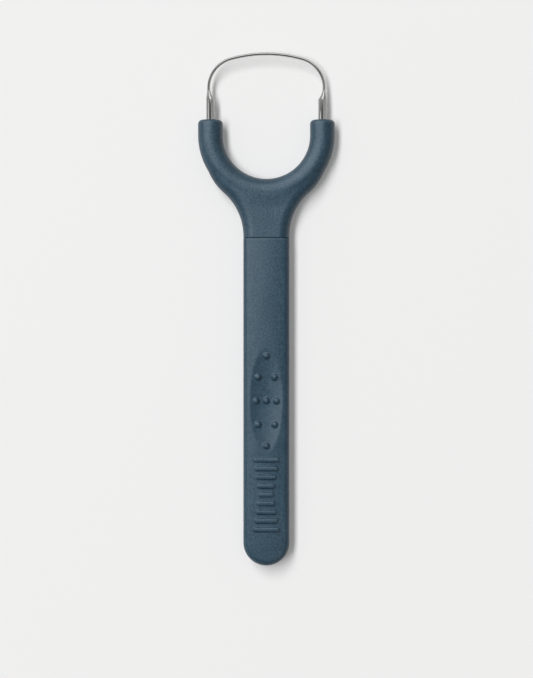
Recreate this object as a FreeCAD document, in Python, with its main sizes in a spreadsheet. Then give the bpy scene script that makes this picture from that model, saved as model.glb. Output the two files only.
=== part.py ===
import FreeCAD, Part
import os
import re
import Sketcher
from FreeCAD import Vector

# Tongue scraper: a moulded handle, a moulded fork head that plugs into it, and a bent wire whose flattened
# middle scrapes. Millimetres. X is the width, Y runs along the handle towards the blade, and Z is up from
# the back. Each piece is drawn with the seam between handle and head at Y = 0, then moved along Y so that
# the origin is under the middle of the whole object.

SIZES = (
    ("handle_length", 98.1, "seam to the rounded end of the handle"),
    ("handle_width", 13.8, "width of the handle, and of the head where it meets the handle"),
    ("handle_thick", 6.7, "thickness of the handle, and of the head's stem"),
    ("crown_radius", 34.5, "radius of the handle's crowned top across its width"),
    ("handle_edge", 2.0, "rounding of the handle's long edges"),
    ("seam_edge", 0.2, "rounding of the handle's and the stem's rims at the seam"),
    ("dish_from_end", 49.3, "rounded end of the handle to the middle of the thumb dish"),
    ("dish_depth", 1.0, "depth of the thumb dish below the crown"),
    ("dish_across", 17.6, "radius of the dish across the handle"),
    ("dish_along", 120.0, "radius of the dish along the handle"),
    ("dot_radius", 1.05, "radius of the raised dots in the dish"),
    ("dot_sink", 0.25, "depth of a dot's centre under the dish floor"),
    ("dot_step_near", 7.1, "dish middle to the rows of two dots"),
    ("dot_step_far", 13.5, "dish middle to the single end dots"),
    ("dot_side_near", 2.5, "centre line to the dots of a row of two"),
    ("dot_side_mid", 3.1, "centre line to the outer dots of the middle row"),
    ("rib_from_end", 21.3, "rounded end of the handle to the middle cross rib"),
    ("rib_count", 9, "number of cross ribs"),
    ("rib_pitch", 2.6, "step from rib to rib"),
    ("rib_width", 1.5, "width of a rib"),
    ("rib_height", 0.6, "height of a rib above the crown"),
    ("rib_half_length", 2.3, "half length of the middle rib"),
    ("rib_growth", 0.41, "gain in half length from one rib to the next outward"),
    ("tang_length", 14.0, "length of the head's tang"),
    ("tang_width", 8.0, "width of the tang at the seam"),
    ("tang_thick", 3.4, "thickness of the tang at the seam"),
    ("tang_draft", 1.0, "draft of the tang and its socket, in degrees"),
    ("tang_edge", 0.6, "rounding of the tang's and the socket's long edges"),
    ("tang_lead", 0.5, "bevel round the end of the tang"),
    ("tang_clearance", 0.08, "gap between the tang and its socket, each side"),
    ("socket_spare", 0.6, "room past the end of the tang"),
    ("fork_length", 35.4, "seam to the arm tips"),
    ("arm_straight", 4.55, "straight end of each arm"),
    ("arm_rise", 0.35, "height of the round arms above the flat stem, each face"),
    ("loop_radius", 13.1, "inner radius of the U between the arms"),
    ("tip_edge", 1.2, "rounding of the arm tips"),
    ("stem_straight", 0.55, "straight start of the stem's sides at the seam"),
    ("web_radius", 17.0, "outward curve of the web below the arms"),
    ("web_drop", 4.5, "middle of the U down to the widest point of the web"),
    ("web_reach", 1.8, "arm centre line out to the widest point of the web"),
    ("web_edge", 3.2, "rounding of the web's and the stem's edges"),
    ("web_blend", 5.0, "blend between the round arms and the flat web"),
    ("wire_diameter", 2.5, "diameter of the round ends of the wire"),
    ("wire_seat", 9.0, "depth of the wire in the arm tips"),
    ("wire_clearance", 0.03, "gap between the wire and its bore, each side"),
    ("wire_spare", 0.3, "room below the end of the wire"),
    ("wire_end", 0.3, "bevel on the ends of the wire"),
    ("flat_run", 3.2, "length over which the wire goes from round to flat"),
    ("band_thick", 0.85, "thickness of the flattened wire"),
    ("band_height", 1.4, "width of the flattened wire, which stands upright"),
    ("band_offset", 0.5, "axis of the round wire out to the middle of the flattened wire"),
    ("band_leg", 0.3, "straight flattened wire below each corner"),
    ("band_corner", 9.05, "bend radius at the band's corners, to the middle of the wire"),
    ("band_crown", 39.5, "bend radius of the band's top, to the middle of the wire"),
    ("blade_reach", 20.25, "arm tips to the top of the band"),
)
ALIASES = {alias for alias, size, note in SIZES}
NEAR = 1e-4

doc = FreeCAD.newDocument("TongueScraper")
sheet = doc.addObject("Spreadsheet::Sheet", "Sizes")
for row, (alias, size, note) in enumerate(SIZES, start=1):
    sheet.set(f"A{row}", note)
    sheet.set(f"B{row}", str(size))
    sheet.setAlias(f"B{row}", alias)
doc.recompute()

# Places that follow from the sizes. The back of the stem and the handle is arm_rise above the surface that
# the round arms lie on.
SEAM_Y = "((handle_length - fork_length - blade_reach) / 2)"
ARM_RADIUS = "(handle_thick / 2 + arm_rise)"
MID_Z = ARM_RADIUS
TOP_Z = f"({MID_Z} + handle_thick / 2)"
ARM_X = f"(loop_radius + {ARM_RADIUS})"
LOOP_Y = "(fork_length - arm_straight)"
BAND_X = f"({ARM_X} + band_offset)"
BLADE_Y = "(fork_length + blade_reach - band_thick / 2)"
BEND_X = f"({BAND_X} - band_corner)"
BEND_Y = f"({BLADE_Y} - band_crown + sqrt((band_crown - band_corner) ^ 2 - {BEND_X} ^ 2))"
FLAT_Y = f"({BEND_Y} - band_leg)"
ROUND_Y = f"({FLAT_Y} - flat_run)"


def tied(formula):
    """The formula with each size read from the sheet."""
    return re.sub(r"[a-z_]+", lambda word: "Sizes." + word[0] if word[0] in ALIASES else word[0], formula)


def value(formula):
    """The number that a formula gives with the present sizes."""
    return float(sheet.evalExpression(formula))


def spot(across, along):
    """The point of a sketch at two formulas."""
    return Vector(value(across), value(along), 0)


def new_body(label):
    """A body of its own for one piece, placed by the lengths of all the pieces."""
    body = doc.addObject("PartDesign::Body", label)
    body.Label = label
    body.setExpression("Placement.Base.y", tied(SEAM_Y))
    return body


def origin_plane(body, role):
    """One of the body's own base planes."""
    return next(item for item in body.Origin.OriginFeatures if item.Role == role)


def new_sketch(body, name, role, lift="0"):
    """A sketch on a base plane, lifted along the plane's normal."""
    sketch = body.newObject("Sketcher::SketchObject", name)
    sketch.AttachmentSupport = (origin_plane(body, role), [""])
    sketch.MapMode = "FlatFace"
    sketch.setExpression("AttachmentOffset.Base.z", tied(lift))
    return sketch


def drive(sketch, kind, *target):
    """A constraint whose last argument is a formula on the sheet."""
    *where, formula = target
    index = sketch.addConstraint(Sketcher.Constraint(kind, *where, value(formula)))
    sketch.setExpression(f"Constraints[{index}]", tied(formula))


def place(sketch, piece, point, across, along):
    """Hold a point of the sketch at two formulas, measured from the sketch's origin."""
    drive(sketch, "DistanceX", -1, 1, piece, point, across)
    drive(sketch, "DistanceY", -1, 1, piece, point, along)


def relate(sketch, kind, *targets):
    """One geometric constraint of the same kind on each target."""
    for target in targets:
        sketch.addConstraint(Sketcher.Constraint(kind, *target))


def arc_between(middle, first, last):
    """The arc from first to last, anticlockwise about the middle."""
    ring = Part.Circle(middle, Vector(0, 0, 1), (first - middle).Length)
    return Part.ArcOfCircle(ring, ring.parameter(first), ring.parameter(last))


def closed(sketch, pieces):
    """Draw the pieces end to end as one closed outline, and give the index of the first."""
    start = len(sketch.Geometry)
    sketch.addGeometry(pieces)
    count = len(pieces)
    relate(sketch, "Coincident", *((start + step, 2, start + (step + 1) % count, 1) for step in range(count)))
    return start


def circle(sketch, across, along, radius):
    """A full circle held by formulas for its centre and its radius."""
    index = sketch.addGeometry(Part.Circle(spot(across, along), Vector(0, 0, 1), value(radius)))
    place(sketch, index, 3, across, along)
    drive(sketch, "Radius", index, radius)


def middle_box(sketch, width, height):
    """A rectangle about the object's middle height, given by formulas for its sides."""
    left, right = f"-({width}) / 2", f"({width}) / 2"
    low, high = f"{MID_Z} - ({height}) / 2", f"{MID_Z} + ({height}) / 2"
    corners = [(left, low), (right, low), (right, high), (left, high)]
    spots = [spot(*corner) for corner in corners]
    closed(sketch, [Part.LineSegment(spots[step], spots[(step + 1) % 4]) for step in range(4)])
    for step, corner in enumerate(corners):
        place(sketch, step, 1, *corner)


def slot(sketch, corners, centres, run):
    """A slot from four corners: straight to the second and fourth, and round about a centre to the others."""
    spots = [spot(*corner) for corner in corners]
    first_end, second_end = (spot(*centre) for centre in centres)
    start = closed(sketch, [
        Part.LineSegment(spots[0], spots[1]),
        arc_between(first_end, spots[1], spots[2]),
        Part.LineSegment(spots[2], spots[3]),
        arc_between(second_end, spots[3], spots[0]),
    ])
    for step, corner in enumerate(corners):
        place(sketch, start + step, 1, *corner)
    for step, centre in zip((1, 3), centres):
        drive(sketch, run, -1, 1, start + step, 3, centre[0] if run == "DistanceX" else centre[1])


def feature(body, kind, name, profile, **settings):
    """A feature of the body on a sketch. A setting that is text is a formula."""
    before = body.Shape.Volume if body.Tip and not body.Shape.isNull() else 0
    item = body.newObject(f"PartDesign::{kind}", name)
    item.Profile = profile
    for setting, content in settings.items():
        if isinstance(content, str):
            item.setExpression(setting, tied(content))
        else:
            setattr(item, setting, content)
    doc.recompute()
    if kind in ("Pocket", "Groove") and not item.Shape.Volume < before:
        raise ValueError(f"{name} cuts nothing")
    return item


def mirrored(body, name, *originals):
    """The features repeated on the other side of the object's middle."""
    item = body.newObject("PartDesign::Mirrored", name)
    item.Originals = list(originals)
    item.MirrorPlane = (origin_plane(body, "YZ_Plane"), [""])
    body.Tip = item
    doc.recompute()
    return item


def round_edges(body, name, base, test, radius):
    """Round the edges of the base that pass the test."""
    names = [f"Edge{index}" for index, edge in enumerate(base.Shape.Edges, start=1) if test(edge)]
    item = body.newObject("PartDesign::Fillet", name)
    item.Base = (base, names)
    item.setExpression("Radius", tied(radius))
    doc.recompute()
    return item


def bevel_edges(body, name, base, test, size):
    """Bevel the edges of the base that pass the test."""
    names = [f"Edge{index}" for index, edge in enumerate(base.Shape.Edges, start=1) if test(edge)]
    item = body.newObject("PartDesign::Chamfer", name)
    item.Base = (base, names)
    item.setExpression("Size", tied(size))
    doc.recompute()
    return item


def level_y(edge, formula):
    """Whether the whole edge lies at one place along the handle."""
    box = edge.BoundBox
    return max(abs(box.YMin - value(formula)), abs(box.YMax - value(formula))) < NEAR


def level_z(edge, formula):
    """Whether the whole edge lies at one height."""
    box = edge.BoundBox
    return max(abs(box.ZMin - value(formula)), abs(box.ZMax - value(formula))) < NEAR


# Handle: a bar with a round end and a crowned top
handle = new_body("handle")
HALF_WIDTH = "(handle_width / 2)"
END_Y = f"({HALF_WIDTH} - handle_length)"
plan = new_sketch(handle, "HandlePlan", "XY_Plane", MID_Z)
near_right, near_left = spot(HALF_WIDTH, "0"), spot(f"-{HALF_WIDTH}", "0")
far_right, far_left = spot(HALF_WIDTH, END_Y), spot(f"-{HALF_WIDTH}", END_Y)
closed(plan, [
    Part.LineSegment(near_right, near_left),
    Part.LineSegment(near_left, far_left),
    arc_between(spot("0", END_Y), far_left, far_right),
    Part.LineSegment(far_right, near_right),
])
place(plan, 0, 1, HALF_WIDTH, "0")
place(plan, 1, 1, f"-{HALF_WIDTH}", "0")
place(plan, 2, 1, f"-{HALF_WIDTH}", END_Y)
place(plan, 3, 1, HALF_WIDTH, END_Y)
drive(plan, "DistanceY", -1, 1, 2, 3, END_Y)
bar = feature(handle, "Pad", "Bar", plan, Length="handle_thick", Midplane=True)

CUT_X = "(handle_width * 0.6)"
CROWN_MIDDLE_Z = f"({TOP_Z} - crown_radius)"
CROWN_EDGE_Z = f"({CROWN_MIDDLE_Z} + sqrt(crown_radius ^ 2 - {CUT_X} ^ 2))"
CUT_Z = f"({TOP_Z} + handle_edge)"
crown_cut = new_sketch(handle, "CrownCut", "XZ_Plane")
edge_right, edge_left = spot(CUT_X, CROWN_EDGE_Z), spot(f"-{CUT_X}", CROWN_EDGE_Z)
cut_right, cut_left = spot(CUT_X, CUT_Z), spot(f"-{CUT_X}", CUT_Z)
closed(crown_cut, [
    arc_between(spot("0", CROWN_MIDDLE_Z), edge_right, edge_left),
    Part.LineSegment(edge_left, cut_left),
    Part.LineSegment(cut_left, cut_right),
    Part.LineSegment(cut_right, edge_right),
])
place(crown_cut, 0, 1, CUT_X, CROWN_EDGE_Z)
place(crown_cut, 1, 1, f"-{CUT_X}", CROWN_EDGE_Z)
place(crown_cut, 2, 1, f"-{CUT_X}", CUT_Z)
place(crown_cut, 3, 1, CUT_X, CUT_Z)
drive(crown_cut, "Radius", 0, "crown_radius")
crowned = feature(handle, "Pocket", "Crown", crown_cut, Length="handle_length * 1.1", Reversed=True)


def handle_rim(edge):
    """Whether the edge runs round the handle's top or back, away from the seam."""
    top = any(abs(getattr(face.Surface, "Radius", 0) - value("crown_radius")) < NEAR
              for face in crowned.Shape.ancestorsOfType(edge, Part.Face))
    return (top or level_z(edge, "arm_rise")) and not level_y(edge, "0")


round_edges(handle, "LongEdges", crowned, handle_rim, "handle_edge")

# Handle: thumb dish, hollowed by an arc that turns about a line above the handle
DISH_Y = "(dish_from_end - handle_length)"
DISH_FLOOR_Z = f"({TOP_Z} - dish_depth)"
DISH_AXIS_Z = f"({DISH_FLOOR_Z} + dish_across)"
DISH_CUT = "(1.2 * sqrt(2 * dish_along * dish_depth))"
DISH_RISE_Z = f"({DISH_FLOOR_Z} + dish_along - sqrt(dish_along ^ 2 - {DISH_CUT} ^ 2))"
dish_section = new_sketch(handle, "DishSection", "YZ_Plane")
dish_far, dish_near = spot(f"{DISH_Y} - {DISH_CUT}", DISH_RISE_Z), spot(f"{DISH_Y} + {DISH_CUT}", DISH_RISE_Z)
closed(dish_section, [
    arc_between(spot(DISH_Y, f"{DISH_FLOOR_Z} + dish_along"), dish_far, dish_near),
    Part.LineSegment(dish_near, dish_far),
])
place(dish_section, 0, 1, f"{DISH_Y} - {DISH_CUT}", DISH_RISE_Z)
place(dish_section, 1, 1, f"{DISH_Y} + {DISH_CUT}", DISH_RISE_Z)
drive(dish_section, "Radius", 0, "dish_along")
axis_far, axis_near = spot(f"{DISH_Y} - {DISH_CUT}", DISH_AXIS_Z), spot(f"{DISH_Y} + {DISH_CUT}", DISH_AXIS_Z)
dish_axis = dish_section.addGeometry(Part.LineSegment(axis_far, axis_near), True)
place(dish_section, dish_axis, 1, f"{DISH_Y} - {DISH_CUT}", DISH_AXIS_Z)
place(dish_section, dish_axis, 2, f"{DISH_Y} + {DISH_CUT}", DISH_AXIS_Z)
feature(handle, "Groove", "Dish", dish_section, ReferenceAxis=(dish_section, ["Axis0"]), Angle=360.0)

# Handle: raised dots on the floor of the dish, in rows of one, two, three, two and one
DOTS = [("0", "dot_step_far"), ("0", "-dot_step_far"), ("0", "0")]
DOTS += [(f"{side}dot_side_mid", "0") for side in ("", "-")]
DOTS += [(f"{side}dot_side_near", f"{way}dot_step_near") for side in ("", "-") for way in ("", "-")]
for number, (across, along) in enumerate(DOTS, start=1):
    floor_radius = f"(dish_across - dish_along + sqrt(dish_along ^ 2 - ({along}) ^ 2))"
    floor_z = f"({DISH_AXIS_Z} - sqrt({floor_radius} ^ 2 - ({across}) ^ 2))"
    dot = handle.newObject("PartDesign::AdditiveSphere", f"Dot{number}")
    dot.setExpression("Radius", tied("dot_radius"))
    dot.setExpression("Placement.Base.x", tied(across))
    dot.setExpression("Placement.Base.y", tied(f"{DISH_Y} + ({along})"))
    dot.setExpression("Placement.Base.z", tied(f"{floor_z} - dot_sink"))
doc.recompute()

# Handle: cross ribs, shortest in the middle of the row
RIB_TOP_Z = f"({TOP_Z} + rib_height)"
rib_plan = new_sketch(handle, "RibPlan", "XY_Plane", f"{TOP_Z} - rib_width")
outermost = int(value("rib_count")) // 2
for step in range(-outermost, outermost + 1):
    reach = f"(rib_half_length + rib_growth * {abs(step)} - rib_width / 2)"
    rib_y = f"(rib_from_end - handle_length + rib_pitch * {step})"
    low, high = f"{rib_y} - rib_width / 2", f"{rib_y} + rib_width / 2"
    slot(rib_plan, [(f"-{reach}", low), (reach, low), (reach, high), (f"-{reach}", high)],
         [(reach, rib_y), (f"-{reach}", rib_y)], "DistanceX")
ribs = feature(handle, "Pad", "Ribs", rib_plan, Length="rib_width + rib_height")
round_edges(handle, "RibTops", ribs, lambda edge: level_z(edge, RIB_TOP_Z),
            "0.95 * min(rib_height; rib_width / 2)")

# Handle: tapered socket for the head's tang
SOCKET_WIDTH = "(tang_width + 2 * tang_clearance)"
SOCKET_THICK = "(tang_thick + 2 * tang_clearance)"
socket_mouth = new_sketch(handle, "SocketMouth", "XZ_Plane")
middle_box(socket_mouth, SOCKET_WIDTH, SOCKET_THICK)
socket = feature(handle, "Pocket", "Socket", socket_mouth, Length="tang_length + socket_spare",
                 TaperAngle="-tang_draft", Reversed=True)


def in_socket(edge):
    """Whether the edge lies within the socket's mouth, seen along the handle."""
    box = edge.BoundBox
    sideways = max(-box.XMin, box.XMax)
    upright = max(value(MID_Z) - box.ZMin, box.ZMax - value(MID_Z))
    return sideways < value(f"{SOCKET_WIDTH} / 2") + NEAR and upright < value(f"{SOCKET_THICK} / 2") + NEAR


def socket_side(edge):
    """Whether the edge runs down the socket."""
    return in_socket(edge) and edge.BoundBox.YLength > value("tang_length")


eased = round_edges(handle, "SocketEdges", socket, socket_side, "tang_edge")
round_edges(handle, "HandleSeam", eased, lambda edge: level_y(edge, "0") and not in_socket(edge), "seam_edge")

# Fork head: a flat stem that widens into a web, drawn as one half and mirrored. The web's inner rim is
# buried in the half ring of the arms.
fork = new_body("fork_head")
WEB_TOP_Y = f"({LOOP_Y} - web_drop)"
WEB_SIDE_X = f"({ARM_X} + web_reach)"
WEB_BEND_X = f"({WEB_SIDE_X} - web_radius)"
WEB_INNER = f"({ARM_X} - 0.9 * sqrt({ARM_RADIUS} ^ 2 - (handle_thick / 2) ^ 2))"
INNER_END_X = f"sqrt({WEB_INNER} ^ 2 - web_drop ^ 2)"
web_plan = new_sketch(fork, "WebPlan", "XY_Plane", MID_Z)
bend, bend_radius = spot(WEB_BEND_X, WEB_TOP_Y), value("web_radius")
gap, rise = value(f"{HALF_WIDTH} - {WEB_BEND_X}"), value(f"{WEB_TOP_Y} - stem_straight")
shoulder_radius = (gap ** 2 + rise ** 2 - bend_radius ** 2) / (2 * (bend_radius - gap))
shoulder = spot(HALF_WIDTH, "stem_straight") + Vector(shoulder_radius, 0, 0)
touch = bend + (shoulder - bend) * (bend_radius / (bend_radius + shoulder_radius))
seam_middle, seam_side = spot("0", "0"), spot(HALF_WIDTH, "0")
stem_side, web_side = spot(HALF_WIDTH, "stem_straight"), spot(WEB_SIDE_X, WEB_TOP_Y)
inner_end, inner_foot = spot(INNER_END_X, WEB_TOP_Y), spot("0", f"{LOOP_Y} - {WEB_INNER}")
loop_middle = spot("0", LOOP_Y)
web_plan.addGeometry([
    Part.LineSegment(seam_middle, seam_side),
    Part.LineSegment(seam_side, stem_side),
    arc_between(shoulder, touch, stem_side),
    arc_between(bend, touch, web_side),
    Part.LineSegment(web_side, inner_end),
    arc_between(loop_middle, inner_foot, inner_end),
    Part.LineSegment(inner_foot, seam_middle),
])
relate(web_plan, "Coincident", (0, 2, 1, 1), (1, 2, 2, 2), (3, 2, 4, 1), (4, 2, 5, 2), (5, 1, 6, 1),
       (6, 2, 0, 1), (0, 1, -1, 1))
relate(web_plan, "Tangent", (2, 1, 3, 1))
relate(web_plan, "Horizontal", (0,), (4,))
relate(web_plan, "Vertical", (1,), (6,))
place(web_plan, 1, 2, HALF_WIDTH, "stem_straight")
drive(web_plan, "DistanceY", -1, 1, 2, 3, "stem_straight")
place(web_plan, 3, 2, WEB_SIDE_X, WEB_TOP_Y)
drive(web_plan, "DistanceY", -1, 1, 3, 3, WEB_TOP_Y)
drive(web_plan, "Radius", 3, "web_radius")
place(web_plan, 5, 3, "0", LOOP_Y)
drive(web_plan, "Radius", 5, WEB_INNER)
half_web = feature(fork, "Pad", "HalfWeb", web_plan, Length="handle_thick", Midplane=True)
web = mirrored(fork, "Web", half_web)


def web_rim(edge):
    """Whether the edge runs along the outside of the stem or the web, on its front or back."""
    middle = edge.valueAt((edge.FirstParameter + edge.LastParameter) / 2)
    buried = (Vector(middle.x, middle.y, 0) - loop_middle).Length < value(WEB_INNER) + NEAR
    across = level_y(edge, "0") or level_y(edge, WEB_TOP_Y)
    return (level_z(edge, TOP_Z) or level_z(edge, "arm_rise")) and not buried and not across


round_edges(fork, "WebEdges", web, web_rim, "min(web_edge; 0.48 * handle_thick)")

# Fork head: two round arms joined by a half ring, which is blended into the web all round
loop_section = new_sketch(fork, "LoopSection", "XZ_Plane", f"-{LOOP_Y}")
circle(loop_section, f"-{ARM_X}", MID_Z, ARM_RADIUS)
feature(fork, "Revolution", "Loop", loop_section, ReferenceAxis=(loop_section, ["V_Axis"]), Angle=180.0)
arm_sections = new_sketch(fork, "ArmSections", "XZ_Plane", f"-{LOOP_Y}")
circle(arm_sections, ARM_X, MID_Z, ARM_RADIUS)
circle(arm_sections, f"-{ARM_X}", MID_Z, ARM_RADIUS)
arms = feature(fork, "Pad", "Arms", arm_sections, Length="arm_straight", Reversed=True)


def crease(edge):
    """Whether the edge is where the half ring comes out of the web."""
    on_ring = [face.Surface.TypeId == "Part::GeomToroid"
               and abs(face.Surface.MajorRadius - value(ARM_X)) < NEAR
               for face in arms.Shape.ancestorsOfType(edge, Part.Face)]
    return len(on_ring) == 2 and sum(on_ring) == 1 and not level_y(edge, LOOP_Y)


blended = round_edges(fork, "WebBlend", arms, crease, "web_blend")
round_edges(fork, "ArmTips", blended, lambda edge: level_y(edge, "fork_length"), "tip_edge")

# Fork head: blind bores for the ends of the wire, and the tang with its draft
bore_mouths = new_sketch(fork, "BoreMouths", "XZ_Plane", "-fork_length")
circle(bore_mouths, ARM_X, MID_Z, "wire_diameter / 2 + wire_clearance")
circle(bore_mouths, f"-{ARM_X}", MID_Z, "wire_diameter / 2 + wire_clearance")
bores = feature(fork, "Pocket", "Bores", bore_mouths, Length="wire_seat + wire_spare", Reversed=True)
round_edges(fork, "StemSeam", bores, lambda edge: level_y(edge, "0"), "seam_edge")
tang_root = new_sketch(fork, "TangRoot", "XZ_Plane")
middle_box(tang_root, "tang_width", "tang_thick")
tang = feature(fork, "Pad", "Tang", tang_root, Length="tang_length", TaperAngle="-tang_draft")


def tang_side(edge):
    """Whether the edge runs down the tang."""
    return edge.BoundBox.YMin < -NEAR and not level_y(edge, "-tang_length")


tang_sides = round_edges(fork, "TangEdges", tang, tang_side, "tang_edge")
bevel_edges(fork, "TangLead", tang_sides, lambda edge: level_y(edge, "-tang_length"), "tang_lead")

# Scraper blade: the flattened middle of the wire, bent to an arch
blade = new_body("scraper_blade")
arch = new_sketch(blade, "ArchLine", "XY_Plane", MID_Z)
crown_middle = spot("0", f"{BLADE_Y} - band_crown")
bend_right, bend_left = spot(BEND_X, BEND_Y), spot(f"-{BEND_X}", BEND_Y)
meet_right = crown_middle + (bend_right - crown_middle).normalize() * value("band_crown")
meet_left = Vector(-meet_right.x, meet_right.y, 0)
leg_right, leg_left = spot(BAND_X, BEND_Y), spot(f"-{BAND_X}", BEND_Y)
arch.addGeometry([
    Part.LineSegment(spot(BAND_X, FLAT_Y), leg_right),
    arc_between(bend_right, leg_right, meet_right),
    arc_between(crown_middle, meet_right, meet_left),
    arc_between(bend_left, meet_left, leg_left),
    Part.LineSegment(leg_left, spot(f"-{BAND_X}", FLAT_Y)),
])
relate(arch, "Tangent", *((piece, 2, piece + 1, 1) for piece in range(4)))
relate(arch, "Vertical", (0,), (4,))
place(arch, 0, 1, BAND_X, FLAT_Y)
place(arch, 4, 2, f"-{BAND_X}", FLAT_Y)
drive(arch, "Radius", 1, "band_corner")
drive(arch, "Radius", 2, "band_crown")
drive(arch, "Radius", 3, "band_corner")
drive(arch, "DistanceY", -1, 1, 2, 3, f"{BLADE_Y} - band_crown")

BAND_LOW_Z = f"({MID_Z} - band_height / 2 + band_thick / 2)"
BAND_HIGH_Z = f"({MID_Z} + band_height / 2 - band_thick / 2)"
band_right, band_left = f"({BAND_X} + band_thick / 2)", f"({BAND_X} - band_thick / 2)"
band_section = new_sketch(blade, "BandSection", "XZ_Plane", f"-{FLAT_Y}")
slot(band_section, [(band_right, BAND_LOW_Z), (band_right, BAND_HIGH_Z), (band_left, BAND_HIGH_Z),
                    (band_left, BAND_LOW_Z)], [(BAND_X, BAND_HIGH_Z), (BAND_X, BAND_LOW_Z)], "DistanceY")
feature(blade, "AdditivePipe", "Band", band_section, Spine=(arch, []))

# Scraper blade: the round ends, each of which goes over into the band along a short flattened run
QUARTER = "(wire_diameter / sqrt(8))"
wire_right, wire_left = f"({ARM_X} + {QUARTER})", f"({ARM_X} - {QUARTER})"
wire_low, wire_high = f"({MID_Z} - {QUARTER})", f"({MID_Z} + {QUARTER})"
WIRE_CORNERS = ((wire_right, wire_low), (wire_right, wire_high), (wire_left, wire_high),
                (wire_left, wire_low))
wire_section = new_sketch(blade, "WireSection", "XZ_Plane", f"-{ROUND_Y}")
wire_spots = [spot(*corner) for corner in WIRE_CORNERS]
closed(wire_section, [arc_between(spot(ARM_X, MID_Z), wire_spots[step], wire_spots[(step + 1) % 4])
                      for step in range(4)])
relate(wire_section, "Coincident", (0, 3, 1, 3), (0, 3, 2, 3), (0, 3, 3, 3))
place(wire_section, 0, 3, ARM_X, MID_Z)
place(wire_section, 0, 1, *WIRE_CORNERS[0])
drive(wire_section, "DistanceX", -1, 1, 1, 1, wire_right)
drive(wire_section, "DistanceY", -1, 1, 2, 1, wire_high)
drive(wire_section, "DistanceX", -1, 1, 3, 1, wire_left)
flattening = feature(blade, "AdditiveLoft", "Flattening", wire_section, Sections=[band_section])
rod_section = new_sketch(blade, "RodSection", "XZ_Plane", f"-{ROUND_Y}")
circle(rod_section, ARM_X, MID_Z, "wire_diameter / 2")
rod = feature(blade, "Pad", "Rod", rod_section, Length=f"{ROUND_Y} - fork_length + wire_seat")
both_ends = mirrored(blade, "BothEnds", flattening, rod)
bevel_edges(blade, "WireEnds", both_ends, lambda edge: level_y(edge, "fork_length - wire_seat"), "wire_end")

# Every feature has to stand, and every piece has to be one sound solid, before anything is written.
failed = [item.Name for item in doc.Objects if {"Invalid", "Error"} & set(item.State)]
if failed:
    raise RuntimeError(f"failed features: {failed}")
pieces = (handle, fork, blade)
for piece in pieces:
    if piece.Shape.isNull() or not piece.Shape.isValid() or len(piece.Shape.Solids) != 1:
        raise RuntimeError(f"{piece.Label} is not one sound solid")
os.makedirs("parts", exist_ok=True)
for piece in pieces:
    piece.Shape.exportStep(f"parts/{piece.Label}.step")
    print(piece.Label, round(piece.Shape.Volume, 3), "mm3")
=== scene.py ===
import math

import bmesh
import bpy
from mathutils import Matrix, Vector


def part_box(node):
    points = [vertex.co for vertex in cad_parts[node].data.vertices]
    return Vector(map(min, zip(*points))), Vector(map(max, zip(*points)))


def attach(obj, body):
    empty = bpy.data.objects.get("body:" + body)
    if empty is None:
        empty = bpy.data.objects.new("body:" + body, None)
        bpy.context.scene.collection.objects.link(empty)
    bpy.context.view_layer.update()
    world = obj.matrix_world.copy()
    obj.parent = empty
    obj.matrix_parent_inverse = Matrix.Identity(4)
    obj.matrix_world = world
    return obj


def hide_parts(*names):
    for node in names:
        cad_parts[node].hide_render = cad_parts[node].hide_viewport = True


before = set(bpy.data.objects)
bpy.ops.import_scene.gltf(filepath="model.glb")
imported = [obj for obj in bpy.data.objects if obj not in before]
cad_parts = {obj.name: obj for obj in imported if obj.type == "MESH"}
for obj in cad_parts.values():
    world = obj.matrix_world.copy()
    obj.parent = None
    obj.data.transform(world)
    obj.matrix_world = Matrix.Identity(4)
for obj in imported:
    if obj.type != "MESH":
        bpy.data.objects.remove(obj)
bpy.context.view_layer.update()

# Handle: the grip, one moulding in satin slate plastic. It is flat on its back and crowned on top,
# with a round end, a thumb dish with nine raised dots, and nine cross ribs. The socket in its front
# face takes the head.
handle_low, handle_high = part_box("handle")
seam_y = handle_high[1]
handle_half = handle_high[0]
handle_thick = 0.0067
handle_back = handle_low[2]
handle_top = handle_back + handle_thick
end_y = handle_low[1] + handle_half
crown_radius = 0.0345
edge_radius = 0.002

# Distances under which two points, or a point and a line, are taken as one.
same_place, same_line = 1e-6, 1e-7


def turn(mesh, geometry, centre, axis, angle, steps):
    """Sweep geometry round an axis and give the end of the sweep."""
    return bmesh.ops.spin(mesh, geom=geometry, cent=centre, axis=axis, dvec=(0, 0, 0),
                          angle=angle, steps=steps)["geom_last"]


def draw_out(mesh, geometry, run, steps=1):
    """Sweep geometry along a straight run and give the end of the sweep."""
    return bmesh.ops.spin(mesh, geom=geometry, cent=(0, 0, 0), axis=(0, 0, 1),
                          dvec=Vector(run) / steps, angle=0, steps=steps)["geom_last"]


def verts_of(geometry):
    """The vertices in a mixed list of geometry."""
    return [item for item in geometry if isinstance(item, bmesh.types.BMVert)]


def edges_of(geometry):
    """The edges in a mixed list of geometry."""
    return [item for item in geometry if isinstance(item, bmesh.types.BMEdge)]


def with_ends(edges):
    """Edges, and the vertices at their ends."""
    return edges + list(dict.fromkeys(vert for edge in edges for vert in edge.verts))


def placed(name, data):
    """A new object in the scene."""
    thing = bpy.data.objects.new(name, data)
    bpy.context.scene.collection.objects.link(thing)
    return thing


def finished(mesh, name, sharp):
    """The object of a mesh, smooth but for folds sharper than an angle in degrees."""
    bmesh.ops.remove_doubles(mesh, verts=mesh.verts, dist=same_place)
    bmesh.ops.recalc_face_normals(mesh, faces=mesh.faces)
    data = bpy.data.meshes.new(name)
    mesh.to_mesh(data)
    mesh.free()
    data.shade_smooth()
    data.set_sharp_from_angle(angle=math.radians(sharp))
    return placed(name, data)


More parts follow.
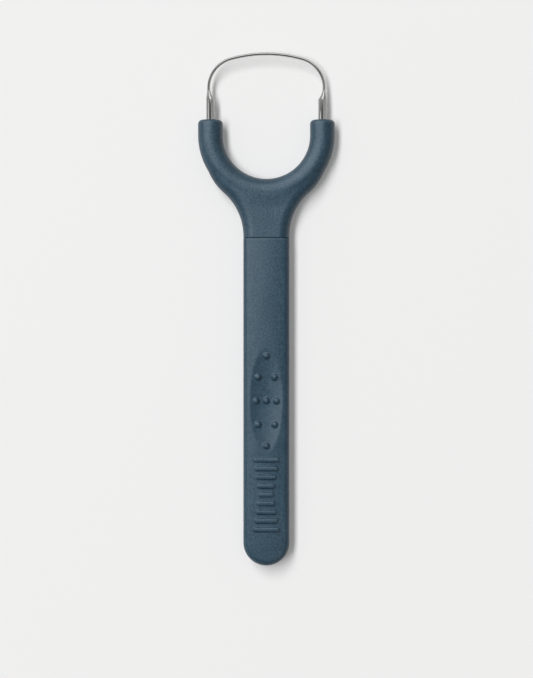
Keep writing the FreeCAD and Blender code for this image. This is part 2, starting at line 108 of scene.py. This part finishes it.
# Half of the handle's section, from the crown's middle round the edge to the middle of the back.
grip = bmesh.new()
crown_middle_z = handle_top - crown_radius
edge_x = handle_half - edge_radius
edge_z = crown_middle_z + math.sqrt((crown_radius - edge_radius) ** 2 - edge_x ** 2)
back_edge_z = handle_back + edge_radius
crown_angle = math.asin(edge_x / (crown_radius - edge_radius))
edge_angle = math.pi / 2 - crown_angle
start = [grip.verts.new((0, end_y, handle_top))]
start = turn(grip, start, (0, end_y, crown_middle_z), (0, 1, 0), crown_angle, steps=30)
start = turn(grip, start, (edge_x, end_y, edge_z), (0, 1, 0), edge_angle, steps=9)
start = draw_out(grip, start, (0, 0, back_edge_z - edge_z), steps=2)
start = turn(grip, start, (edge_x, end_y, back_edge_z), (0, 1, 0), math.pi / 2, steps=7)
draw_out(grip, start, (-edge_x, 0, 0), steps=6)

# The section turned half round for the end, whose top then follows the crown.
turn(grip, grip.verts[:] + grip.edges[:], (0, end_y, 0), (0, 0, 1), -math.pi, steps=48)
bmesh.ops.remove_doubles(grip, verts=grip.verts, dist=same_line)


def sag(across):
    """How far the crown drops at a distance from its middle."""
    return crown_radius - math.sqrt(crown_radius ** 2 - across ** 2)


crown_x = crown_radius * math.sin(crown_angle)
for vert in grip.verts:
    reach = math.hypot(vert.co.x, vert.co.y - end_y)
    if vert.co.z > edge_z - same_place and reach > same_place:
        inside = min(reach, crown_x)
        vert.co.z += sag(inside) - sag(vert.co.x * inside / reach)

# The end's open side drawn out to the seam, in fine steps along the ribs and the dish.
seam_gap, seam_round = 0.0001, 0.00006
front_y = seam_y - seam_gap
rim_y = front_y - seam_round
ribs_start, ribs_end, dish_end, plain_end = -0.0683, -0.0433, -0.0093, 0.0185
rim = with_ends([edge for edge in grip.edges
                 if all(abs(vert.co.y - end_y) < same_line for vert in edge.verts)])
for stop, steps in ((ribs_start, 4), (ribs_end, 190), (dish_end, 190), (plain_end, 14), (rim_y, 4)):
    rim = draw_out(grip, rim, (0, stop - verts_of(rim)[0].co.y, 0), steps)

# Dish, dots and ribs raise and lower the top, each running out into it with a small round.
dish_y, dish_half_long = handle_low[1] + 0.0493, 0.0168
dish_floor = handle_top - 0.001
dish_across, dish_along = 0.0176, 0.12
dots = [(0, 0.0135), (0, -0.0135), (0, 0), (0.0031, 0), (-0.0031, 0)]
dots += [(side * 0.0025, way * 0.0071) for side in (1, -1) for way in (1, -1)]
dot_radius, dot_sink, dot_cover = 0.00105, 0.00025, 0.999
rib_y, rib_pitch, ribs_each_way = handle_low[1] + 0.0213, 0.0026, 4
rib_reach, rib_reach_gain, rib_half_width = 0.0023, 0.00041, 0.00075
rib_top, rib_round = handle_top + 0.0006, 0.00057
dish_melt, rib_melt = 0.00012, 0.00014


def melt(first, second, round_size):
    """The higher of two heights, with a round where they meet."""
    near = max(round_size - abs(first - second), 0) / round_size
    return max(first, second) + near * near * round_size / 4


def dish_height(x, y):
    """Height of the dish's bowl."""
    along = dish_along - math.sqrt(dish_along ** 2 - (y - dish_y) ** 2)
    radius = dish_across - along
    return dish_floor + dish_across - math.sqrt(radius ** 2 - x ** 2)


for vert in grip.verts:
    x, y, z = vert.co
    if z < handle_top - sag(crown_x) - same_place:
        continue
    if abs(y - dish_y) < dish_half_long:
        z = -melt(-z, -dish_height(x, y), dish_melt)
        for across, along in dots:
            gap = math.hypot(x - across, y - dish_y - along)
            if gap < dot_radius * dot_cover:
                foot = dish_height(across, dish_y + along) - dot_sink
                z = melt(z, foot + math.sqrt(dot_radius ** 2 - gap ** 2), dish_melt)
    step = round((y - rib_y) / rib_pitch)
    if abs(step) <= ribs_each_way:
        reach = rib_reach + rib_reach_gain * abs(step) - rib_half_width
        gap = math.hypot(max(abs(x) - reach, 0), y - rib_y - step * rib_pitch)
        if gap < rib_half_width:
            fall = max(gap - rib_half_width + rib_round, 0)
            rise = math.sqrt(max(rib_round ** 2 - fall ** 2, 0))
            z = melt(z, rib_top - rib_round + rise, rib_melt)
    vert.co.z = z

# The rim at the seam is rounded, and the socket goes in from the front face with a little draft.
half_thick = handle_thick / 2
middle_z = handle_back + half_thick
about_middle = Matrix.Translation((0, 0, -middle_z))
before = 0
for turned in (30, 60, 90):
    inwards = seam_round * (1 - math.cos(math.radians(turned)))
    along = rim_y + seam_round * math.sin(math.radians(turned))
    rim = draw_out(grip, rim, (0, along - verts_of(rim)[0].co.y, 0))
    bmesh.ops.scale(grip, verts=verts_of(rim), space=about_middle,
                    vec=((handle_half - inwards) / (handle_half - before), 1,
                         (half_thick - inwards) / (half_thick - before)))
    before = inwards
socket_wide, socket_tall, socket_deep = 0.00816, 0.00356, 0.0145
socket_corner, socket_draft = 0.0006, 0.000255
mouth = bmesh.ops.create_grid(grip, x_segments=1, y_segments=1, size=0.5,
                              matrix=Matrix.Translation((0, front_y, middle_z))
                              @ Matrix.Rotation(math.pi / 2, 4, "X")
                              @ Matrix.Diagonal((socket_wide, socket_tall, 1, 1)))["verts"]
mouth = bmesh.ops.bevel(grip, geom=mouth, offset=socket_corner, affect="VERTICES", segments=5,
                        profile=0.5, material=-1)["verts"]
patch = mouth[0].link_faces[0]
ring = list(patch.edges)
bmesh.ops.delete(grip, geom=[patch], context="FACES_ONLY")
bmesh.ops.triangle_fill(grip, edges=edges_of(rim) + ring, use_beauty=True, normal=(0, 1, 0))
ring = draw_out(grip, with_ends(ring), (0, -socket_deep, 0))
bmesh.ops.scale(grip, verts=verts_of(ring), space=about_middle,
                vec=(1 - 2 * socket_draft / socket_wide, 1, 1 - 2 * socket_draft / socket_tall))
bmesh.ops.contextual_create(grip, geom=edges_of(ring))
handle = finished(grip, "handle_grip", sharp=72)


class Finish:
    """One socket in a material. Arithmetic on it adds Math nodes."""

    def __init__(self, tree, socket=None):
        self.tree = tree
        self.socket = socket

    def node(self, kind, settings, sockets, output=0):
        """Add a node, set it up, fill its sockets with values or links, and give one output."""
        added = self.tree.nodes.new(kind)
        for name, value in settings.items():
            if name == "stops":
                ramp = added.color_ramp
                while len(ramp.elements) < len(value):
                    ramp.elements.new(1)
                for element, (place, grey) in zip(ramp.elements, value):
                    element.position = place
                    element.color = (grey, grey, grey, 1)
            else:
                setattr(added, name, value)
        for name, value in sockets.items():
            if isinstance(value, Finish):
                self.tree.links.new(value.socket, added.inputs[name])
            else:
                added.inputs[name].default_value = value
        return Finish(self.tree, added.outputs[output])

    def blend(self, share, first, second):
        """A colour between two. The Mix node takes them at sockets 6 and 7 and gives it at 2."""
        return self.node("ShaderNodeMix", {"data_type": "RGBA"},
                         {"Factor": share, 6: first, 7: second}, 2)

    def into(self, shader, name):
        """Link the socket to one that a shader names."""
        self.tree.links.new(self.socket, shader.inputs[name])

    def maths(self, operation, first, second):
        """A Math node on two values."""
        return self.node("ShaderNodeMath", {"operation": operation}, {0: first, 1: second})

    def __add__(self, other):
        return self.maths("ADD", self, other)

    def __radd__(self, other):
        return self.maths("ADD", other, self)

    def __sub__(self, other):
        return self.maths("SUBTRACT", self, other)

    def __rsub__(self, other):
        return self.maths("SUBTRACT", other, self)

    def __mul__(self, other):
        return self.maths("MULTIPLY", self, other)

    def __rmul__(self, other):
        return self.maths("MULTIPLY", other, self)


def slate_plastic(name, streak_scale):
    """Satin slate plastic with a fine mottle, faint streaks along the piece and a fine grain."""
    material = bpy.data.materials.new(name)
    material.use_nodes = True
    shader = material.node_tree.nodes["Principled BSDF"]
    make = Finish(material.node_tree)
    place = make.node("ShaderNodeTexCoord", {}, {}, "Object")
    drawn = make.node("ShaderNodeMapping", {}, {"Vector": place, "Scale": streak_scale})
    mottle = make.node("ShaderNodeTexNoise", {}, {"Vector": place, "Scale": 1700.0, "Detail": 3.0,
                                                  "Roughness": 0.6})
    patches = make.node("ShaderNodeTexNoise", {}, {"Vector": place, "Scale": 210.0, "Detail": 2.0})
    streaks = make.node("ShaderNodeTexNoise", {}, {"Vector": drawn, "Scale": 1.0, "Detail": 3.0,
                                                   "Roughness": 0.55})
    grain = make.node("ShaderNodeTexNoise", {}, {"Vector": place, "Scale": 3600.0, "Detail": 2.0,
                                                 "Roughness": 0.65})
    shade = make.node("ShaderNodeMapRange", {"interpolation_type": "SMOOTHSTEP"},
                      {"Value": mottle * 0.68 + patches * 0.17 + streaks * 0.15,
                       "From Min": 0.36, "From Max": 0.64})
    colour = make.blend(shade, (0.010, 0.037, 0.062, 1), (0.031, 0.072, 0.107, 1))
    roughness = 0.33 + mottle * 0.1 + streaks * 0.04
    bump = make.node("ShaderNodeBump", {}, {"Height": grain * 0.7 + mottle * 0.3, "Strength": 0.3,
                                            "Distance": 0.00003})
    colour.into(shader, "Base Color")
    roughness.into(shader, "Roughness")
    bump.into(shader, "Normal")
    shader.inputs["Specular IOR Level"].default_value = 0.5
    return material


handle.data.materials.append(slate_plastic("slate_plastic_handle", (2400, 160, 2400)))
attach(handle, "handle")
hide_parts("handle")

# Fork head: the second moulding, in the same plastic. Its stem widens into a web that runs out into
# two round arms. Its tang is pushed into the handle, and the wire's ends are pressed into the arm
# tips.
loop_y, arm_line, arm_radius = 0.052075, 0.0168, 0.0037
web_top, hollow_radius = handle_top, 0.005
hollow_reach = arm_radius + hollow_radius
hollow_end = math.sqrt(hollow_reach ** 2 - (web_top + hollow_radius - arm_radius) ** 2)
hollow_start = hollow_end * arm_radius / hollow_reach
ease_run, ease_full_x, ease_end_x = 0.0055, 0.0035, 0.0115
top_side_z, past_ease, off_web = 0.005, 0.001, 0.00003
fine_edge, halvings = 0.0005, 5
head = bmesh.new()
head.from_mesh(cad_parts["fork_head"].data)
bmesh.ops.remove_doubles(head, verts=head.verts, dist=same_place)


def outwards(vert):
    """How far a point is outside the middle line of the arms."""
    return math.hypot(vert.co.x, vert.co.y - loop_y) - arm_line


def web_height(out):
    """Height of the arm's round, of the hollow beside it or of the flat web."""
    if out < hollow_start:
        return arm_radius + math.sqrt(arm_radius ** 2 - out ** 2)
    return web_top + hollow_radius - math.sqrt(hollow_radius ** 2 - min(out - hollow_end, 0) ** 2)


def eased(share):
    """A share from 0 to 1 with a slow start and a slow end."""
    share = min(max(share, 0), 1)
    return share * share * (3 - 2 * share)


def over_web(vert):
    """Whether a point is on the upper side, from the arms' middle line to just past the slope."""
    return (vert.co.z > top_side_z and vert.co.y < loop_y
            and 0 <= outwards(vert) < ease_run + past_ease)


def on_web(vert):
    """Whether a point lies on the plain top of arm, hollow or web, clear of the rounded edge."""
    return (abs(vert.co.z - web_top) < same_place
            or over_web(vert) and abs(vert.co.z - web_height(outwards(vert))) < off_web)


# The hollow beside the arms is spread into one slow slope near the stem, on a finer mesh.
for halving in range(halvings):
    long_edges = [edge for edge in head.edges
                  if edge.calc_length() > fine_edge and all(on_web(vert) for vert in edge.verts)]
    bmesh.ops.subdivide_edges(head, edges=long_edges, cuts=1, use_single_edge=True)
    bmesh.ops.triangulate(head, faces=head.faces)
for vert in head.verts:
    if over_web(vert):
        out = outwards(vert)
        slope = 2 * arm_radius + (web_top - 2 * arm_radius) * eased(out / ease_run)
        share = eased((ease_end_x - abs(vert.co.x)) / (ease_end_x - ease_full_x))
        level = web_height(out) if on_web(vert) else vert.co.z
        vert.co.z = level + (slope - web_height(out)) * share
fork = finished(head, "fork_shell", sharp=40)

# The copied mesh carries the normals of the shape before, which no longer fit.
carried = fork.data.attributes.get("custom_normal")
if carried:
    fork.data.attributes.remove(carried)
fork.data.materials.append(slate_plastic("slate_plastic_fork", (1900, 240, 1900)))
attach(fork, "head")
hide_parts("fork_head")

# Scraper blade: one stainless wire, pressed flat in the middle, bent to an arch and polished. Its
# two ends stay round and are pressed into the fork's arms.
wire_x, wire_z, wire_radius = 0.0168, 0.0037, 0.00125
wire_depth, end_chamfer = 0.009, 0.0003
band_x, band_half, band_tall = 0.0173, 0.000425, 0.0007
corner, crown = 0.00905, 0.0395
straight_run, press_run, press_steps = 0.0003, 0.0032, 20
press_haste, edge_share = 1.7, 0.55
arm_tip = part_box("fork_head")[1][1]
crown_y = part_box("scraper_blade")[1][1] - band_half - crown
bend_x = band_x - corner
bend_y = crown_y + math.sqrt((crown - corner) ** 2 - bend_x ** 2)
bend_angle = math.atan2(bend_y - crown_y, bend_x)
round_y = bend_y - straight_run - press_run
full_y = arm_tip - wire_depth + end_chamfer
end_radius = wire_radius - end_chamfer
wire = bmesh.new()
bmesh.ops.create_circle(wire, cap_ends=True, segments=56, radius=end_radius,
                        matrix=Matrix.Translation((wire_x, full_y - end_chamfer, wire_z))
                        @ Matrix.Rotation(math.pi / 2, 4, "X"))
ring = draw_out(wire, wire.verts[:] + wire.edges[:], (0, end_chamfer, 0))
bmesh.ops.scale(wire, verts=verts_of(ring), vec=(wire_radius / end_radius,) * 3,
                space=Matrix.Translation((-wire_x, -full_y, -wire_z)))
ring = draw_out(wire, ring, (0, round_y - full_y, 0), steps=3)


def pressed(across, up, run):
    """Where a point of the round wire is after a share of the flattening run. The inner side gives
    way at once, the outer side slowly."""
    quick, slow = 1 - (1 - run) ** press_haste, eased(run)
    flattened = quick + (slow - quick) * (across + 1) / 2
    if abs(across) < edge_share:
        side = band_half * across / edge_share
        rise = math.copysign(band_tall - band_half + math.sqrt(band_half ** 2 - side ** 2), up)
    else:
        side = math.copysign(band_half, across)
        rise = (band_tall - band_half) * up / math.sqrt(1 - edge_share ** 2)
    round_x, round_rise = wire_x + wire_radius * across, wire_radius * up
    return (round_x + (band_x + side - round_x) * flattened,
            wire_z + round_rise + (rise - round_rise) * flattened)


def end_on(vert):
    """A point's place seen along the wire, rounded so that it can be looked up."""
    return round(vert.co.x, 9), round(vert.co.z, 9)


around = [((vert.co.x - wire_x) / wire_radius, (vert.co.z - wire_z) / wire_radius)
          for vert in verts_of(ring)]
for step in range(1, press_steps + 1):
    spots = {end_on(vert): spot for vert, spot in zip(verts_of(ring), around)}
    ring = draw_out(wire, ring, (0, press_run / press_steps, 0))
    around = [spots[end_on(vert)] for vert in verts_of(ring)]
    for vert, (across, up) in zip(verts_of(ring), around):
        vert.co.x, vert.co.z = pressed(across, up, step / press_steps)
ring = draw_out(wire, ring, (0, straight_run, 0))
ring = turn(wire, ring, (bend_x, bend_y, wire_z), (0, 0, 1), bend_angle, steps=40)
turn(wire, ring, (0, crown_y, wire_z), (0, 0, 1), math.pi / 2 - bend_angle, steps=24)
bmesh.ops.mirror(wire, geom=wire.verts[:] + wire.edges[:] + wire.faces[:], matrix=Matrix(),
                 axis="X", merge_dist=same_line)
blade = finished(wire, "blade_wire", sharp=40)
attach(blade, "head")
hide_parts("scraper_blade")
steel = bpy.data.materials.new("polished_wire")
steel.use_nodes = True
steel_shader = steel.node_tree.nodes["Principled BSDF"]
make = Finish(steel.node_tree)
place = make.node("ShaderNodeTexCoord", {}, {}, "Object")
drawn = make.node("ShaderNodeMapping", {}, {"Vector": place, "Scale": (5200, 420, 5200)})
lines = make.node("ShaderNodeTexNoise", {}, {"Vector": drawn, "Scale": 1.0, "Detail": 3.0})
cloud = make.node("ShaderNodeTexNoise", {}, {"Vector": place, "Scale": 420.0, "Detail": 2.0})
colour = make.blend(lines * 0.6 + cloud * 0.4, (0.36, 0.36, 0.358, 1), (0.45, 0.45, 0.447, 1))
roughness = 0.08 + lines * 0.08 + cloud * 0.06
bump = make.node("ShaderNodeBump", {}, {"Height": lines, "Strength": 0.1, "Distance": 0.00001})
colour.into(steel_shader, "Base Color")
roughness.into(steel_shader, "Roughness")
bump.into(steel_shader, "Normal")
steel_shader.inputs["Metallic"].default_value = 1.0
blade.data.materials.append(steel)

# Studio floor: a matt pale sheet that the tool lies on. It adds a little light of its own where it
# is seen or mirrored, and keeps the soft shadow.
sheet_half, sheet_glow = 30, 0.08
sheet = bmesh.new()
bmesh.ops.create_grid(sheet, x_segments=1, y_segments=1, size=sheet_half)
floor_data = bpy.data.meshes.new("studio_floor")
sheet.to_mesh(floor_data)
sheet.free()
floor = placed("studio_floor", floor_data)
pale = bpy.data.materials.new("pale_sheet")
pale.use_nodes = True
pale.node_tree.nodes.remove(pale.node_tree.nodes["Principled BSDF"])
make = Finish(pale.node_tree)
seen, mirrored, through = (make.node("ShaderNodeLightPath", {}, {}, ray)
                           for ray in ("Is Camera Ray", "Is Glossy Ray", "Is Transmission Ray"))
matt = make.node("ShaderNodeBsdfDiffuse", {}, {"Color": (0.9, 0.9, 0.9, 1)})
glow = make.node("ShaderNodeEmission", {}, {"Color": (1, 1, 1, 1),
                                            "Strength": sheet_glow * (seen + mirrored + through)})
both = make.node("ShaderNodeAddShader", {}, {0: matt, 1: glow})
both.into(pale.node_tree.nodes["Material Output"], "Surface")
floor_data.materials.append(pale)

# Studio light: a long soft strip high on the left, a rake from the same side that shapes the
# relief, and a little fill from the room. Panels give the plastic its sheen and the steel its
# bright lines.
key_way, key_away = Vector((-0.40, 0.27, 1)).normalized(), 6
key_across = Vector((0, 1, 0)).cross(key_way).normalized()
key_light = bpy.data.lights.new("soft_key", "AREA")
key_light.shape = "RECTANGLE"
key_light.size = 1.4
key_light.size_y = 6.4
key_light.energy = 293
key = placed("soft_key", key_light)
key.location = key_way * key_away
key_turn = Matrix((key_across, key_way.cross(key_across), key_way)).transposed()
key.rotation_euler = key_turn.to_euler()
key.visible_glossy = False
key.visible_camera = False
rake_way = Vector((-0.65, 0.58, 0.49))
rake_light = bpy.data.lights.new("rake", "SUN")
rake_light.energy = 0.45
rake_light.angle = math.radians(30)
rake_light.use_shadow = False
rake = placed("rake", rake_light)
rake.rotation_euler = rake_way.to_track_quat("Z", "Y").to_euler()
rake.visible_glossy = False
plastic_pieces = bpy.data.collections.new("plastic_pieces")
plastic_pieces.objects.link(handle)
plastic_pieces.objects.link(fork)
steel_pieces = bpy.data.collections.new("steel_pieces")
steel_pieces.objects.link(blade)
for name, lit, place, size, power in (
        ("sheen_panel", plastic_pieces, (-0.166, 0.205, 0.306), 0.66, 2.72),
        ("end_panel", plastic_pieces, (0.05, -0.12, 0.12), 0.09, 0.02),
        ("steel_panel_left", steel_pieces, (-0.81, 0.05, 0.59), 0.4, 0.55),
        ("steel_panel_right", steel_pieces, (0.72, 0.05, 0.69), 0.7, 0.68),
        ("steel_panel_far", steel_pieces, (0, 0.7, 0.7), 1.0, 3.5)):
    panel_light = bpy.data.lights.new(name, "AREA")
    panel_light.shape = "DISK"
    panel_light.size = size
    panel_light.energy = power
    panel = placed(name, panel_light)
    panel.location = place
    panel.rotation_euler = panel.location.to_track_quat("Z", "Y").to_euler()
    panel.visible_diffuse = False
    panel.visible_camera = False
    panel.light_linking.receiver_collection = lit

# The room: an even dim fill, and for mirrored rays walls brighter at the sides and the far end.
room_fill = 0.18
room = bpy.data.worlds.new("studio_room")
bpy.context.scene.world = room
room.use_nodes = True
background = room.node_tree.nodes["Background"]
make = Finish(room.node_tree)
way = make.node("ShaderNodeTexCoord", {}, {}, "Generated")
left_right, near_far = (make.node("ShaderNodeSeparateXYZ", {}, {"Vector": way}, axis)
                        for axis in ("X", "Y"))
walls = make.node("ShaderNodeValToRGB",
                  {"stops": [(0.0, 0.36), (0.22, 0.36), (0.38, 0.18), (0.55, 0.14), (0.7, 0.30),
                             (1.0, 0.30)]},
                  {"Fac": left_right * 0.5 + 0.5})
far_glow = make.node("ShaderNodeMapRange", {"interpolation_type": "SMOOTHSTEP"},
                     {"Value": near_far, "From Min": 0.16, "From Max": 0.5, "To Max": 0.3})
mirrored = make.node("ShaderNodeLightPath", {}, {}, "Is Glossy Ray")
strength = room_fill + mirrored * (walls + far_glow - room_fill)
strength.into(background, "Strength")
background.inputs["Color"].default_value = (1, 0.985, 0.965, 1)

# Camera: straight above the tool, a short telephoto, framed as the photograph is.
distance, view_tall = 0.65, 0.2034
view_x, view_y = 0.00003, seam_y - 0.0303
lens = bpy.data.cameras.new("camera")
lens.sensor_width = 36
lens.lens = lens.sensor_width * distance / view_tall
camera = placed("camera", lens)
camera.location = (view_x, view_y, wire_z + distance)
bpy.context.scene.camera = camera
bpy.context.scene.view_settings.view_transform = "Standard"
